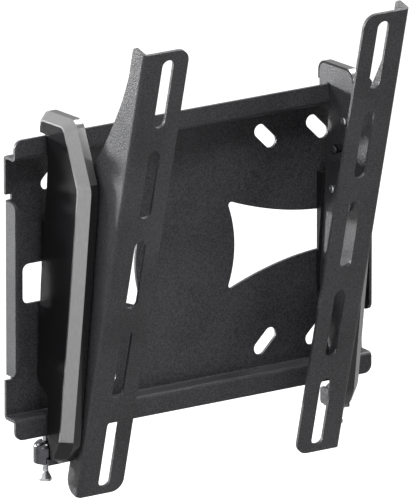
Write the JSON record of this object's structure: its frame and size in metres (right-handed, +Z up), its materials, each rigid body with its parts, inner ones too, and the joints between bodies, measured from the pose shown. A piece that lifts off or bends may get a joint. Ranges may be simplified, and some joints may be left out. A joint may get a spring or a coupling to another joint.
{
  "type": "tv mount",
  "caption": "Tilting wall mount for a flat screen: folded wall plate, two sliding side carriers with silver bands, slotted tilting arms and lock screws",
  "frame": {"origin": "middle of the back face of the wall plate, on the wall", "axes": "X right, -Y out of the wall towards the viewer, +Z up"},
  "size_m": [0.2686, 0.1049, 0.3084],
  "materials": {
    "black_steel": "fine textured black powder coat",
    "black_plastic": "fine grained black moulding",
    "silver_band": "silver satin",
    "zinc_screw": "zinc plated",
    "zinc_steel": "zinc plated",
    "dark_metal": "dark polished metal"
  },
  "bodies": {
    "wall": {"wall_plate": "black_steel"},
    "left_carrier": {"left_hook_plate": "black_steel", "left_cover": "black_plastic", "left_band": "silver_band", "left_spacer": "black_plastic", "left_cover_screws": "zinc_screw", "left_lock_boss": "dark_metal", "left_pivot_bolt": "zinc_steel", "left_pivot_washers": "zinc_steel", "left_pivot_nut": "zinc_steel", "left_guide_pin": "black_steel"},
    "left_arm": {"left_arm": "black_steel"},
    "left_screw": {"left_lock_screw": "zinc_steel"},
    "right_carrier": {"right_hook_plate": "black_steel", "right_cover": "black_plastic", "right_band": "silver_band", "right_spacer": "black_plastic", "right_cover_screws": "zinc_screw", "right_lock_boss": "dark_metal", "right_pivot_bolt": "zinc_steel", "right_pivot_washers": "zinc_steel", "right_pivot_nut": "zinc_steel", "right_guide_pin": "black_steel"},
    "right_arm": {"right_arm": "black_steel"},
    "right_screw": {"right_lock_screw": "zinc_steel"}
  },
  "joints": [
    {"name": "left_carrier_slide", "type": "slide", "parent": "wall", "child": "left_carrier", "axis": [1, 0, 0], "range_m": [-0.0205, 0.0419]},
    {"name": "left_arm_tilt", "type": "hinge", "parent": "left_carrier", "child": "left_arm", "pos_m": [-0.0995, -0.0384, 0.0265], "axis": [1, 0, 0], "range_deg": [-19.15, 0.85]},
    {"name": "left_lock_screw_slide", "type": "slide", "parent": "left_carrier", "child": "left_screw", "axis": [0, 0, 1], "range_m": [-0.008, 0.0055]},
    {"name": "right_carrier_slide", "type": "slide", "parent": "wall", "child": "right_carrier", "axis": [1, 0, 0], "range_m": [-0.044, 0.0185]},
    {"name": "right_arm_tilt", "type": "hinge", "parent": "right_carrier", "child": "right_arm", "pos_m": [0.1015, -0.0384, 0.0265], "axis": [1, 0, 0], "range_deg": [-19.15, 0.85]},
    {"name": "right_lock_screw_slide", "type": "slide", "parent": "right_carrier", "child": "right_screw", "axis": [0, 0, 1], "range_m": [-0.008, 0.0055]}
  ]
}
